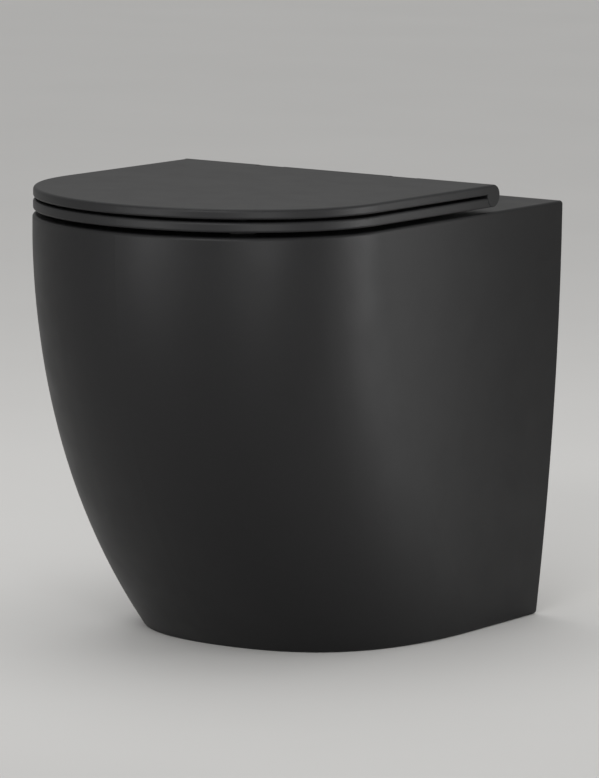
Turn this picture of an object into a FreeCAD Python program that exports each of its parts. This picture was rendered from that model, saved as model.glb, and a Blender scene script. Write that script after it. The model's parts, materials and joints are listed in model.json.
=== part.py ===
import FreeCAD, Part
import math
import os

# Floor-standing back-to-wall toilet with a slim soft-close seat. Millimetres, +Z up.
# The origin is on the floor, midway between the wall plane and the front tip. The wall is at +Y.

# Pan, outside
pan_length = 490.0            # wall plane to front tip, at the deck
pan_width = 360.0             # at the deck
pan_height = 410.0            # floor to deck
base_length = 323.0           # wall plane to front tip, at the floor
base_width = 317.0            # at the floor
side_run_top = 326.0          # straight side behind the nose, at the deck
side_run_base = 114.0         # straight side behind the nose, at the floor
nose_fullness_top = 0.552     # handle share of the nose curve, 0.552 gives an ellipse
nose_fullness_base = 0.69
width_fall = 2.0              # powers of the draw-in from deck to floor
length_fall = 2.4
side_run_fall = 1.56
skirt_sections = 8
deck_edge_round = 3.0         # round the deck and down the two back corners
floor_edge_round = 4.0

# Pan, casting walls
skirt_wall = 11.0
deck_thickness = 15.0
bowl_wall = 10.0
trap_wall = 9.0

# Bowl and sump, distances measured from the wall plane
rim_side = 45.0               # deck between the bowl mouth and the flank
rim_front = 38.0              # deck between the bowl mouth and the front tip
bowl_rear = 172.0
bowl_widest = 300.0
bowl_mouth_round = 6.0
bowl_roundness = 0.75
bowl_sections = 8
bowl_points = 24
bowl_rear_fall = 1.2          # power of the fall of the bowl's rear wall
sump_width = 90.0
sump_rear = 256.0
sump_front = 346.0
sump_floor = 120.0            # above the floor
sump_round = 16.0             # round the foot of the bowl

# Trapway and soil outlet
trap_bore_radius = 27.0
trap_bend_radius = 38.0
trap_slope = 65.0             # degrees
trap_floor_step = 1.0
water_seal = 50.0
crown_setback = 150.0
outlet_height = 185.0
outlet_setback = 20.0
outlet_radius = 51.0
outlet_bore_radius = 43.0
outlet_bore_depth = 50.0
outlet_collar_length = 56.0

# Flush inlet
inlet_above_outlet = 135.0
inlet_setback = 20.0
inlet_socket_radius = 29.0
inlet_socket_depth = 45.0
inlet_socket_wall = 8.0
inlet_channel_radius = 20.0
inlet_channel_wall = 9.0
inlet_channel_rise = 36.0
inlet_channel_bend = 60.0
inlet_bend_setback = 110.0
inlet_mouth_round = 5.0       # where the channel opens into the bowl
seal_bore_radius = 22.0
seal_lip_height = 3.0
seal_lip_length = 4.0
seal_clearance = 0.1

# Floor brackets, inside the skirt
bracket_spacing = 224.0       # between the floor holes
bracket_width = 36.0
bracket_foot_length = 52.0
bracket_height = 58.0
bracket_sheet = 4.0
floor_hole_radius = 4.5
floor_hole_from_upright = 30.0
lug_setback = 28.0
lug_thickness = 12.0
lug_height = 64.0
clamp_height = 38.0
clamp_hole_radius = 5.5
clamp_screw_radius = 4.0
clamp_head_radius = 7.0
clamp_head_height = 5.3
clamp_washer_radius = 9.0
clamp_washer_thickness = 1.6
clamp_nut_height = 6.5
clamp_screw_spare = 3.0
thread_clearance = 0.05

# Seat and lid stack
seat_gap = 4.5                # deck to the underside of the seat
seat_thickness = 9.5
slot_height = 2.5             # between seat and lid
lid_thickness = 9.5
lid_side_setback = 0.3        # inside the pan's flank
lid_front_setback = 1.0       # inside the pan's front tip
lid_side_run = 326.0          # wall plane to where the lid's nose starts
lid_top_round = 3.0
slab_edge_round = 2.2         # lid below, seat above and below
seat_opening_overhang = 20.0  # seat inside the bowl mouth
seat_opening_round = 3.0
lid_recess_depth = 3.0
lid_recess_inset = 30.0
lid_recess_corner = 12.0
buffer_side_inset = 28.0      # seat buffers, inside the lid's flank
buffer_side_setback = 250.0
buffer_front_offset = 96.5
buffer_front_inset = 65.5     # behind the pan's front tip
buffer_front_turn = 45.0      # degrees
lid_buffer_side_inset = 17.0
lid_buffer_front_offset = 102.0
lid_buffer_front_inset = 56.0
buffer_length = 26.0
buffer_width = 12.0
lid_buffer_radius = 5.0
buffer_plug_radius = 3.0
buffer_plug_depth = 4.0
buffer_clearance = 0.05

# Hinge barrel
hinge_setback = 127.0         # wall plane to the barrel's axis
post_spacing = 155.0
block_length = 29.4
block_radius = 10.5
knuckle_side_gap = 0.4
knuckle_clearance = 0.5       # round the barrel
knuckle_edge_round = 1.0
insert_radius = 7.0
insert_clearance = 0.1
insert_key_width = 2.0
insert_key_height = 1.2
damper_length = 52.0
bush_length = 24.0
pin_radius = 3.0
pin_running_clearance = 0.06
pin_press_clearance = 0.02
pin_depth_in_block = 8.6
pin_flats = 4.4               # across the two flats that key a pin in its block
axial_clearance = 0.4
rotor_radius = 5.0
rotor_length = 30.0
rotor_recess = 8.0            # damper nose wall before the rotor chamber
lid_damper_side = 1           # 1 is the right side, -1 the left
seat_damper_side = -1

# Hinge post, its cover and its fixing through the deck
gasket_thickness = 0.8
post_disc_radius = 18.0
post_disc_thickness = 1.2
rosette_radius = 20.0
rosette_sheet = 0.8
rosette_round = 0.6
post_boss_radius = 5.0
post_boss_below_axis = 6.0
latch_pin_radius = 2.5
latch_neck_radius = 1.6
latch_pin_above_axis = 3.4
latch_clearance = 0.3
post_bore_clearance = 0.2
boss_notch_clearance = 0.8    # lid and seat round the post
post_thread_radius = 4.0
post_thread_length = 58.0     # below the deck's top face
post_hole_radius = 7.0
sleeve_clearance = 0.2
sleeve_flange_radius = 14.0
sleeve_flange_thickness = 3.0
post_washer_radius = 13.0
post_washer_thickness = 1.5
wing_nut_radius = 8.0
wing_nut_height = 12.0
wing_span = 34.0
wing_height = 16.0
wing_sheet = 3.0

# Release button in the hinge block
latch_plate_thickness = 2.4
latch_plate_width = 8.0
latch_plate_front = 4.5       # ahead of the post's axis
button_travel = 2.0
button_radius = 4.4
button_inner = 5.2            # behind the post's axis
button_proud = 0.4
button_clearance = 0.3
spring_seat = 9.0             # ahead of the post's axis
spring_radius = 1.6
spring_wire = 0.45
spring_turns = 3
spring_bore_radius = 2.4
spring_end_clearance = 0.05
gap_points_per_turn = 24      # points on which the gap between turns is measured

# Values that follow from the sizes above
half_length = pan_length / 2
axis_y = half_length - hinge_setback
seat_bottom = pan_height + seat_gap
seat_top = seat_bottom + seat_thickness
lid_bottom = seat_top + slot_height
lid_top = lid_bottom + lid_thickness
barrel_radius = (lid_top - seat_bottom) / 2
axis_z = seat_bottom + barrel_radius
notch_radius = barrel_radius + knuckle_clearance
lid_half_width = pan_width / 2 - lid_side_setback
lid_tip_y = lid_front_setback - half_length
block_inner_x = post_spacing / 2 - block_length / 2
block_outer_x = post_spacing / 2 + block_length / 2
seat_knuckle_end = block_inner_x - knuckle_side_gap
lid_knuckle_end = block_outer_x + knuckle_side_gap
deck_underside = pan_height - deck_thickness
inlet_height = outlet_height + inlet_above_outlet
dip_height = sump_floor + trap_bore_radius + trap_floor_step
crown_height = dip_height + 2 * trap_bore_radius + water_seal
rosette_height = gasket_thickness + post_disc_thickness + rosette_sheet
cut_margin = 2.0              # how far a cutting shape reaches past the face it opens

across = FreeCAD.Vector(1, 0, 0)
back = FreeCAD.Vector(0, 1, 0)
forward = FreeCAD.Vector(0, -1, 0)
up = FreeCAD.Vector(0, 0, 1)
down = FreeCAD.Vector(0, 0, -1)


def at(x, setback, z):
    # A point given by its distance in front of the wall plane.
    return FreeCAD.Vector(x, half_length - setback, z)


def rod(radius, start, direction, length):
    return Part.makeCylinder(radius, length, start, direction)


def block_between(low, high):
    return Part.makeBox(high.x - low.x, high.y - low.y, high.z - low.z, low)


def pair(make):
    # The same piece on the right and on the left.
    return [make(1), make(-1)]


def edges_where(shape, test):
    return [edge for edge in shape.Edges if test(edge)]


def level_edges(shape, z):
    # Edges that lie flat at one height.
    return edges_where(shape, lambda e: abs(e.BoundBox.ZMin - z) < 0.01 and abs(e.BoundBox.ZMax - z) < 0.01)


def nose_curve(half_width, start_y, tip_y, fullness, z):
    # One quarter of the plan outline, from the end of the straight side to the front tip.
    curve = Part.BezierCurve()
    curve.setPoles([
        FreeCAD.Vector(half_width, start_y, z),
        FreeCAD.Vector(half_width, start_y + (tip_y - start_y) * fullness, z),
        FreeCAD.Vector(half_width * fullness, tip_y, z),
        FreeCAD.Vector(0, tip_y, z),
    ])
    return curve.toShape()


def plan_outline(half_width, rear_y, start_y, tip_y, fullness, z):
    # D-shaped outline: flat rear, straight sides, rounded nose.
    right_nose = nose_curve(half_width, start_y, tip_y, fullness, z)
    left_nose = nose_curve(-half_width, start_y, tip_y, fullness, z)
    rear_right = FreeCAD.Vector(half_width, rear_y, z)
    rear_left = FreeCAD.Vector(-half_width, rear_y, z)
    right_side = Part.makeLine(rear_right, FreeCAD.Vector(half_width, start_y, z))
    left_side = Part.makeLine(FreeCAD.Vector(-half_width, start_y, z), rear_left)
    rear = Part.makeLine(rear_left, rear_right)
    return Part.Wire(Part.__sortEdges__([rear, right_side, right_nose, left_nose, left_side]))


def skirt_outline(z, inset, rear_y):
    # The skirt draws in from deck to floor, the front more than the sides.
    drop = 1 - z / pan_height
    half_width = pan_width / 2 - (pan_width - base_width) / 2 * drop ** width_fall
    reach = pan_length - (pan_length - base_length) * drop ** length_fall
    side_run = side_run_top - (side_run_top - side_run_base) * drop ** side_run_fall
    fullness = nose_fullness_top + (nose_fullness_base - nose_fullness_top) * drop
    return plan_outline(half_width - inset, rear_y, half_length - side_run,
                        half_length - reach + inset, fullness, z)


def skirt_solid(inset, top, rear_y):
    heights = [top * i / (skirt_sections - 1) for i in range(skirt_sections)]
    return Part.makeLoft([skirt_outline(z, inset, rear_y) for z in heights], True)


def egg_outline(half_width, rear, widest, front, z):
    # Closed oval of two half ellipses that share their widest line; distances are from the wall plane.
    points = []
    for i in range(bowl_points):
        angle = 2 * math.pi * i / bowl_points
        reach = (front - widest) if math.cos(angle) > 0 else (widest - rear)
        points.append(at(half_width * math.sin(angle), widest + reach * math.cos(angle), z))
    curve = Part.BSplineCurve()
    curve.interpolate(points, PeriodicFlag=True)
    return Part.Wire([curve.toShape()])


def bowl_solid(wall):
    # The bowl closes in from mouth to sump along a rounded fall; a wall makes its outer form.
    mouth_half = pan_width / 2 - rim_side
    mouth_front = pan_length - rim_front
    sump_middle = (sump_rear + sump_front) / 2
    wires = []
    for i in range(bowl_sections):
        depth = i / (bowl_sections - 1)
        share = (1 - depth ** 2) ** bowl_roundness
        half_width = sump_width / 2 + (mouth_half - sump_width / 2) * share
        rear = sump_rear + (bowl_rear - sump_rear) * (1 - depth) ** bowl_rear_fall
        front = sump_front + (mouth_front - sump_front) * share
        widest = sump_middle + (bowl_widest - sump_middle) * share
        z = pan_height + (sump_floor - wall - pan_height) * depth
        wires.append(egg_outline(half_width + wall, rear - wall, widest, front + wall, z))
    form = Part.makeLoft(wires, True)
    return form.makeFillet(sump_round + wall, level_edges(form, sump_floor - wall))


def bent_path(corners, bend_radius):
    # Straight runs joined by tangent arcs of one radius.
    edges = []
    start = corners[0]
    for before, corner, after in zip(corners, corners[1:], corners[2:]):
        to_before = (before - corner).normalize()
        to_after = (after - corner).normalize()
        half_angle = to_before.getAngle(to_after) / 2
        tangent = bend_radius / math.tan(half_angle)
        middle_way = (to_before + to_after).normalize()
        arc_start = corner + to_before * tangent
        arc_end = corner + to_after * tangent
        arc_middle = corner + middle_way * (bend_radius / math.sin(half_angle) - bend_radius)
        edges.append(Part.makeLine(start, arc_start))
        edges.append(Part.Arc(arc_start, arc_middle, arc_end).toShape())
        start = arc_end
    edges.append(Part.makeLine(start, corners[-1]))
    return Part.Wire(edges)


def tube_along(path, radius):
    start = path.OrderedVertexes[0].Point
    direction = path.OrderedEdges[0].tangentAt(path.OrderedEdges[0].FirstParameter)
    ring = Part.Wire([Part.makeCircle(radius, start, direction)])
    return path.makePipeShell([ring], True, False)


def trap_path():
    # From the sump back through the dip, over the crown and down to the outlet.
    steep = math.radians(trap_slope)
    peak = crown_height + trap_bend_radius * (1 / math.cos(steep) - 1)
    dip_setback = crown_setback + (peak - dip_height) / math.tan(steep)
    fall_setback = crown_setback - (peak - outlet_height) / math.tan(steep)
    corners = [
        at(0, (sump_rear + sump_front) / 2, dip_height),
        at(0, dip_setback, dip_height),
        at(0, crown_setback, peak),
        at(0, fall_setback, outlet_height),
        at(0, outlet_setback + outlet_bore_depth / 2, outlet_height),
    ]
    return bent_path(corners, trap_bend_radius)


def inlet_path():
    # From the socket forward and up to the back of the bowl.
    corners = [
        at(0, inlet_setback + inlet_socket_depth - cut_margin, inlet_height),
        at(0, inlet_bend_setback, inlet_height),
        at(0, bowl_rear + 2 * inlet_channel_radius, inlet_height + inlet_channel_rise),
    ]
    return bent_path(corners, inlet_channel_bend)


def lug_solid(side):
    # Upright rib inside the skirt that a floor bracket is clamped to.
    inner = side * (bracket_spacing / 2 - bracket_width / 2)
    outer = side * (base_width / 2 - skirt_wall / 2)
    low = at(min(inner, outer), lug_setback + lug_thickness, 0)
    high = at(max(inner, outer), lug_setback, lug_height)
    lug = block_between(low, high)
    hole = rod(clamp_hole_radius, at(side * bracket_spacing / 2, 0, clamp_height), forward, pan_length / 4)
    return lug.cut(hole)


def pan_skirt():
    # Outer casting: skirt, deck, lugs, hinge holes and the seat for the bowl.
    skin = skirt_solid(0, pan_height, half_length + cut_margin)
    wall_low = at(-pan_width, 0, -cut_margin)
    wall_high = at(pan_width, -2 * cut_margin, pan_height + cut_margin)
    skin = skin.cut(block_between(wall_low, wall_high))
    corners = edges_where(skin, lambda e: e.BoundBox.YLength < 0.01 and e.BoundBox.ZLength > pan_height / 2)
    skin = skin.makeFillet(deck_edge_round, level_edges(skin, pan_height) + corners)
    foot = edges_where(skin, lambda e: e.BoundBox.ZMax < 0.01 and e.BoundBox.YMin < half_length - 1)
    skin = skin.makeFillet(floor_edge_round, foot)
    hollow = skirt_solid(skirt_wall, deck_underside, half_length + cut_margin)
    foot_inside = skirt_outline(0, skirt_wall, half_length + cut_margin)
    floor_opening = Part.Face(foot_inside).extrude(down * cut_margin)
    shell = skin.cut(hollow.fuse(floor_opening)).multiFuse(pair(lug_solid))
    holes = []
    for side in (1, -1):
        hole_start = post_axis(side, pan_height + cut_margin)
        holes.append(rod(post_hole_radius, hole_start, down, deck_thickness + 2 * cut_margin))
    return shell.cut(holes + [bowl_solid(bowl_wall)])


def pan_bowl():
    # Inner casting, from the mouth's rounded edge down to the sump.
    cup = bowl_solid(bowl_wall).cut([
        bowl_solid(0),
        tube_along(trap_path(), trap_bore_radius),
        tube_along(inlet_path(), inlet_channel_radius),
    ])
    mouth_front = half_length - pan_length + rim_front
    mouth = [e for e in level_edges(cup, pan_height) if e.BoundBox.YMin > mouth_front - 1]
    cup = cup.makeFillet(bowl_mouth_round, mouth)
    inlet_mouth = edges_where(cup, lambda e: abs(e.BoundBox.XLength - 2 * inlet_channel_radius) < 1)
    inner = min(inlet_mouth, key=lambda e: e.BoundBox.YMin)
    return cup.makeFillet(inlet_mouth_round, [inner])


def pan_trapway():
    # Bent tube from the bowl over the crown to the outlet spigot.
    path = trap_path()
    collar = rod(outlet_radius, at(0, outlet_setback, outlet_height), forward, outlet_collar_length)
    body = tube_along(path, trap_bore_radius + trap_wall).fuse(collar)
    bore_start = at(0, outlet_setback - cut_margin, outlet_height)
    return body.cut([
        bowl_solid(bowl_wall),
        tube_along(path, trap_bore_radius),
        rod(outlet_bore_radius, bore_start, forward, outlet_bore_depth + cut_margin),
    ])


def pan_flush_channel():
    # Socket for the flush pipe and the channel that rises from it to the bowl.
    path = inlet_path()
    socket_outer = inlet_socket_radius + inlet_socket_wall
    socket_length = inlet_socket_depth + inlet_socket_wall
    socket = rod(socket_outer, at(0, inlet_setback, inlet_height), forward, socket_length)
    body = tube_along(path, inlet_channel_radius + inlet_channel_wall).fuse(socket)
    bore_start = at(0, inlet_setback - cut_margin, inlet_height)
    return body.cut([
        bowl_solid(bowl_wall),
        tube_along(path, inlet_channel_radius),
        rod(inlet_socket_radius, bore_start, forward, inlet_socket_depth + cut_margin),
    ])


def flush_inlet_seal():
    # Rubber sleeve in the socket with a lip over the socket's mouth.
    mouth = at(0, inlet_setback, inlet_height)
    lip_start = at(0, inlet_setback - seal_lip_length, inlet_height)
    sleeve = rod(inlet_socket_radius - seal_clearance, mouth, forward, inlet_socket_depth)
    lip = rod(inlet_socket_radius + seal_lip_height, lip_start, forward, seal_lip_length)
    bore = rod(seal_bore_radius, lip_start, forward, inlet_socket_depth + seal_lip_length)
    return sleeve.fuse(lip).cut(bore).removeSplitter()


def floor_bracket(side):
    # Bent sheet: a foot on the floor and an upright against the lug.
    lug_face = lug_setback + lug_thickness
    left = side * bracket_spacing / 2 - bracket_width / 2
    right = left + bracket_width
    foot = block_between(at(left, lug_face + bracket_foot_length, 0), at(right, lug_face, bracket_sheet))
    upright = block_between(at(left, lug_face + bracket_sheet, 0), at(right, lug_face, bracket_height))
    floor_hole_start = at(side * bracket_spacing / 2, lug_face + floor_hole_from_upright, -cut_margin)
    floor_hole = rod(floor_hole_radius, floor_hole_start, up, bracket_sheet + 2 * cut_margin)
    clamp_start = at(side * bracket_spacing / 2, lug_face - cut_margin, clamp_height)
    clamp_hole = rod(clamp_hole_radius, clamp_start, forward, bracket_sheet + 2 * cut_margin)
    return foot.fuse(upright).removeSplitter().cut([floor_hole, clamp_hole])


def hexagon_bar(corner_radius, start, length):
    # Six-sided bar that runs forward from its start.
    corners = []
    for i in range(7):
        angle = math.pi / 3 * i
        corner = FreeCAD.Vector(math.cos(angle), 0, math.sin(angle)) * corner_radius
        corners.append(start + corner)
    return Part.Face(Part.makePolygon(corners)).extrude(forward * length)


def clamp_axis(side, setback):
    return at(side * bracket_spacing / 2, setback, clamp_height)


def clamp_screw(side):
    head_face = lug_setback - clamp_washer_thickness
    head_start = clamp_axis(side, head_face - clamp_head_height)
    head = hexagon_bar(clamp_head_radius, head_start, clamp_head_height)
    grip = clamp_washer_thickness + lug_thickness + bracket_sheet
    reach = grip + clamp_nut_height + clamp_screw_spare
    shank = rod(clamp_screw_radius, clamp_axis(side, head_face), forward, reach)
    return head.fuse(shank).removeSplitter()


def clamp_washer(side):
    start = clamp_axis(side, lug_setback - clamp_washer_thickness)
    ring = rod(clamp_washer_radius, start, forward, clamp_washer_thickness)
    return ring.cut(rod(clamp_screw_radius + thread_clearance, start, forward, clamp_washer_thickness))


def clamp_nut(side):
    start = clamp_axis(side, lug_setback + lug_thickness + bracket_sheet)
    nut = hexagon_bar(clamp_head_radius, start, clamp_nut_height)
    return nut.cut(rod(clamp_screw_radius + thread_clearance, start, forward, clamp_nut_height))


def post_axis(side, z):
    return FreeCAD.Vector(side * post_spacing / 2, axis_y, z)


def upright_rod(side, radius, low, high):
    # Round bar on a hinge post's own axis.
    return rod(radius, post_axis(side, low), up, high - low)


def hinge_gasket(side):
    ring = upright_rod(side, post_disc_radius, pan_height, pan_height + gasket_thickness)
    hole_radius = post_thread_radius + post_bore_clearance
    return ring.cut(upright_rod(side, hole_radius, pan_height, pan_height + gasket_thickness))


def hinge_post(side):
    # Turned steel: thread through the deck, seating disc, boss, and a grooved latch pin on top.
    disc_low = pan_height + gasket_thickness
    boss_top = axis_z - post_boss_below_axis
    groove_half = latch_plate_thickness / 2 + latch_clearance
    pieces = [
        upright_rod(side, post_thread_radius, pan_height - post_thread_length, disc_low),
        upright_rod(side, post_boss_radius, disc_low, boss_top),
        upright_rod(side, latch_pin_radius, boss_top, axis_z - groove_half),
        upright_rod(side, latch_neck_radius, axis_z - groove_half, axis_z + groove_half),
        upright_rod(side, latch_pin_radius, axis_z + groove_half, axis_z + latch_pin_above_axis),
    ]
    disc = upright_rod(side, post_disc_radius, disc_low, disc_low + post_disc_thickness)
    return disc.multiFuse(pieces).removeSplitter()


def rosette(side):
    # Thin cover over the seating disc.
    top = pan_height + rosette_height
    cover = upright_rod(side, rosette_radius, pan_height, top)
    cover = cover.makeFillet(rosette_round, level_edges(cover, top))
    inside = upright_rod(side, post_disc_radius + post_bore_clearance, pan_height, top - rosette_sheet)
    hole = upright_rod(side, post_boss_radius + post_bore_clearance, pan_height, top)
    return cover.cut([inside, hole])


def hinge_sleeve(side):
    # Rubber sleeve in the deck hole with a flange under the deck.
    top = pan_height - sleeve_clearance
    flange_low = deck_underside - sleeve_flange_thickness
    sleeve = upright_rod(side, post_hole_radius - sleeve_clearance, deck_underside, top)
    flange = upright_rod(side, sleeve_flange_radius, flange_low, deck_underside)
    bore = upright_rod(side, post_thread_radius + post_bore_clearance, flange_low, top)
    return sleeve.fuse(flange).cut(bore).removeSplitter()


def hinge_washer(side):
    top = deck_underside - sleeve_flange_thickness
    low = top - post_washer_thickness
    ring = upright_rod(side, post_washer_radius, low, top)
    return ring.cut(upright_rod(side, post_thread_radius + post_bore_clearance, low, top))


def wing_nut(side):
    top = deck_underside - sleeve_flange_thickness - post_washer_thickness
    low = top - wing_nut_height
    centre = post_axis(side, top - wing_height)
    half_span = FreeCAD.Vector(wing_span / 2, wing_sheet / 2, 0)
    wings = block_between(centre - half_span, centre + half_span + up * (wing_height - wing_sheet))
    hub = upright_rod(side, wing_nut_radius, low, top)
    bore = upright_rod(side, post_thread_radius + thread_clearance, top - wing_height, top)
    return hub.fuse(wings).cut(bore).removeSplitter()


def barrel_rod(radius, from_x, to_x):
    # Round bar on the hinge axis.
    low = min(from_x, to_x)
    return rod(radius, FreeCAD.Vector(low, axis_y, axis_z), across, abs(to_x - from_x))


def keyed_end(radius, flats, from_x, to_x):
    # Bar end with two flats, on the hinge axis.
    low = FreeCAD.Vector(min(from_x, to_x), axis_y - radius, axis_z - flats / 2)
    high = FreeCAD.Vector(max(from_x, to_x), axis_y + radius, axis_z + flats / 2)
    return barrel_rod(radius, from_x, to_x).common(block_between(low, high))


def post_box(side, half_x, front, rear, half_z):
    # Box centred on a post across and in height, from one distance ahead of it to one behind it.
    centre = post_axis(side, axis_z)
    low = centre - FreeCAD.Vector(half_x, front, half_z)
    return block_between(low, centre + FreeCAD.Vector(half_x, rear, half_z))


def post_bar(side, radius, ahead, behind):
    # Round bar along Y through a post's axis, from one distance ahead of it to one behind it.
    return rod(radius, post_axis(side, axis_z) + forward * ahead, back, ahead + behind)


def hinge_block(side):
    # Middle knuckle that clips on the post and carries a pin at each end.
    body = barrel_rod(block_radius, side * block_inner_x, side * block_outer_x)
    pin_bore = pin_radius + pin_press_clearance
    flats = pin_flats + 2 * pin_press_clearance
    slot_half_x = latch_plate_width / 2 + button_clearance
    slot_half_z = latch_plate_thickness / 2 + button_clearance
    slot_front = latch_plate_front + button_travel + button_clearance
    button_bore_start = button_inner - button_travel - button_clearance
    inner_bore_end = side * (block_inner_x + pin_depth_in_block)
    outer_bore_end = side * (block_outer_x - pin_depth_in_block)
    boss_top = axis_z - post_boss_below_axis
    latch_pin_top = axis_z + latch_pin_above_axis
    return body.cut([
        upright_rod(side, post_boss_radius + post_bore_clearance, axis_z - barrel_radius, boss_top),
        upright_rod(side, latch_pin_radius + latch_clearance, boss_top, latch_pin_top + latch_clearance),
        keyed_end(pin_bore, flats, side * block_inner_x, inner_bore_end),
        keyed_end(pin_bore, flats, side * block_outer_x, outer_bore_end),
        post_box(side, slot_half_x, slot_front, button_inner, slot_half_z),
        post_bar(side, button_radius + button_clearance, -button_bore_start, barrel_radius),
        post_bar(side, spring_bore_radius, spring_seat, -latch_plate_front),
    ])


def release_button(side):
    # Sliding latch: the narrow end of its keyhole holds the post's groove until the button is pressed.
    half_z = latch_plate_thickness / 2
    plate = post_box(side, latch_plate_width / 2, latch_plate_front, button_inner, half_z)
    cap = post_bar(side, button_radius, -button_inner, barrel_radius + button_proud)
    cap = cap.common(barrel_rod(block_radius + button_proud, side * block_inner_x, side * block_outer_x))
    wide = upright_rod(side, latch_pin_radius + latch_clearance, axis_z - half_z, axis_z + half_z)
    wide.translate(back * button_travel)
    narrow_radius = latch_neck_radius + latch_clearance
    narrow = upright_rod(side, narrow_radius, axis_z - half_z, axis_z + half_z)
    neck = post_box(side, narrow_radius, 0, button_travel, half_z)
    return plate.fuse(cap).removeSplitter().cut([wide, narrow, neck])


def spring_path(side):
    # Helix along Y built of two tangent arcs for each quarter turn.
    start = post_axis(side, axis_z) + forward * (spring_seat - spring_wire / 2 - spring_end_clearance)
    reach = spring_seat - latch_plate_front - spring_wire - 2 * spring_end_clearance
    steps = 4 * spring_turns
    pitch_angle = reach / (2 * math.pi * spring_radius * spring_turns)
    points = []
    tangents = []
    for i in range(steps + 1):
        angle = math.pi / 2 * i
        ring = FreeCAD.Vector(math.cos(angle), 0, math.sin(angle)) * spring_radius
        points.append(start + ring + back * (reach * i / steps))
        tangents.append(FreeCAD.Vector(-math.sin(angle), pitch_angle, math.cos(angle)).normalize())
    edges = []
    for first, last, leave, arrive in zip(points, points[1:], tangents, tangents[1:]):
        edges += tangent_arcs(first, last, leave, arrive)
    return Part.Wire(edges)


def tangent_arcs(first, last, leave, arrive):
    # Two arcs that join two points and keep both end directions.
    span = last - first
    both = leave + arrive
    a = both.dot(both) - 4
    b = -2 * span.dot(both)
    c = span.dot(span)
    handle = (-b - math.sqrt(b * b - 4 * a * c)) / (2 * a)
    corner_one = first + leave * handle
    corner_two = last - arrive * handle
    middle = (corner_one + corner_two) * 0.5
    return [corner_arc(first, corner_one, middle), corner_arc(middle, corner_two, last)]


def corner_arc(first, corner, last):
    # Arc that leaves and arrives along the two legs of a corner of equal legs.
    to_first = (first - corner).normalize()
    to_last = (last - corner).normalize()
    half_angle = to_first.getAngle(to_last) / 2
    leg = (first - corner).Length
    middle_way = (to_first + to_last).normalize()
    middle = corner + middle_way * (leg / math.cos(half_angle) - leg * math.tan(half_angle))
    return Part.Arc(first, middle, last).toShape()


def least_coil_gap(path):
    # Least clear distance from one turn of the wire to another, measured on points.
    points = path.discretize(gap_points_per_turn * spring_turns)
    half_turn = gap_points_per_turn // 2
    spans = [(far - near).Length for i, near in enumerate(points) for far in points[i + half_turn:]]
    return min(spans) - spring_wire


def release_spring(side):
    path = spring_path(side)
    print("release spring, least gap between turns", round(least_coil_gap(path), 2))
    return tube_along(path, spring_wire / 2)


def insert_body(side, start, direction, length, clearance):
    # Keyed cylinder that fills a knuckle's bore; its clearance makes the bore.
    first = side * start
    last = side * (start + direction * length)
    key_half = insert_key_width / 2 + clearance
    key_top = insert_radius + insert_key_height + clearance
    low = FreeCAD.Vector(min(first, last), axis_y - key_half, axis_z)
    high = FreeCAD.Vector(max(first, last), axis_y + key_half, axis_z + key_top)
    core = barrel_rod(insert_radius + clearance, first, last)
    return core.fuse(block_between(low, high)).removeSplitter()


def knuckle_bore(side, start, direction, length):
    return insert_body(side, start, direction, length + axial_clearance, insert_clearance)


def damper_housing(side, start, direction):
    # Closed sleeve with a nose bore for the shaft and a chamber for the rotor.
    chamber_start = start + direction * rotor_recess
    chamber_end = chamber_start + direction * (rotor_length + 2 * axial_clearance)
    nose = barrel_rod(pin_radius + pin_running_clearance, side * start, side * chamber_start)
    chamber = barrel_rod(rotor_radius + pin_running_clearance, side * chamber_start, side * chamber_end)
    return insert_body(side, start, direction, damper_length, 0).cut([nose, chamber])


def damper_rotor(side, start, direction, block_face):
    # Shaft keyed in the hinge block, with the drum that shears the damping grease.
    drum_start = start + direction * (rotor_recess + axial_clearance)
    shaft = barrel_rod(pin_radius, side * block_face, side * drum_start)
    drum = barrel_rod(rotor_radius, side * drum_start, side * (drum_start + direction * rotor_length))
    key_end = side * (block_face - direction * (pin_depth_in_block - axial_clearance))
    key = keyed_end(pin_radius, pin_flats, side * block_face, key_end)
    return shaft.multiFuse([drum, key]).removeSplitter()


def pivot_bush(side, start, direction):
    end = start + direction * bush_length
    bore = barrel_rod(pin_radius + pin_running_clearance, side * start, side * end)
    return insert_body(side, start, direction, bush_length, 0).cut(bore)


def pivot_pin(side, start, direction, block_face):
    shaft_end = side * (start + direction * (bush_length - axial_clearance))
    shaft = barrel_rod(pin_radius, side * block_face, shaft_end)
    key_end = side * (block_face - direction * (pin_depth_in_block - axial_clearance))
    return shaft.fuse(keyed_end(pin_radius, pin_flats, side * block_face, key_end)).removeSplitter()


def slab(z, thickness, inset):
    # Plate with the seat's plan outline.
    outline = plan_outline(lid_half_width - inset, axis_y - inset, half_length - lid_side_run,
                           lid_tip_y + inset, nose_fullness_top, z)
    return Part.Face(outline).extrude(up * thickness)


def outer_edges(shape, z):
    # Edges of the outline at one height, without the straight rear.
    return [edge for edge in level_edges(shape, z) if edge.BoundBox.YLength > 1]


def post_notches(low, high):
    # Room in a plate for the two posts and their blocks.
    half_x = block_length / 2 + knuckle_side_gap
    notches = []
    for side in (1, -1):
        corner = post_axis(side, low) - FreeCAD.Vector(half_x, post_boss_radius + boss_notch_clearance, 0)
        notches.append(Part.makeBox(2 * half_x, 2 * barrel_radius, high - low, corner))
    return notches


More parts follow.
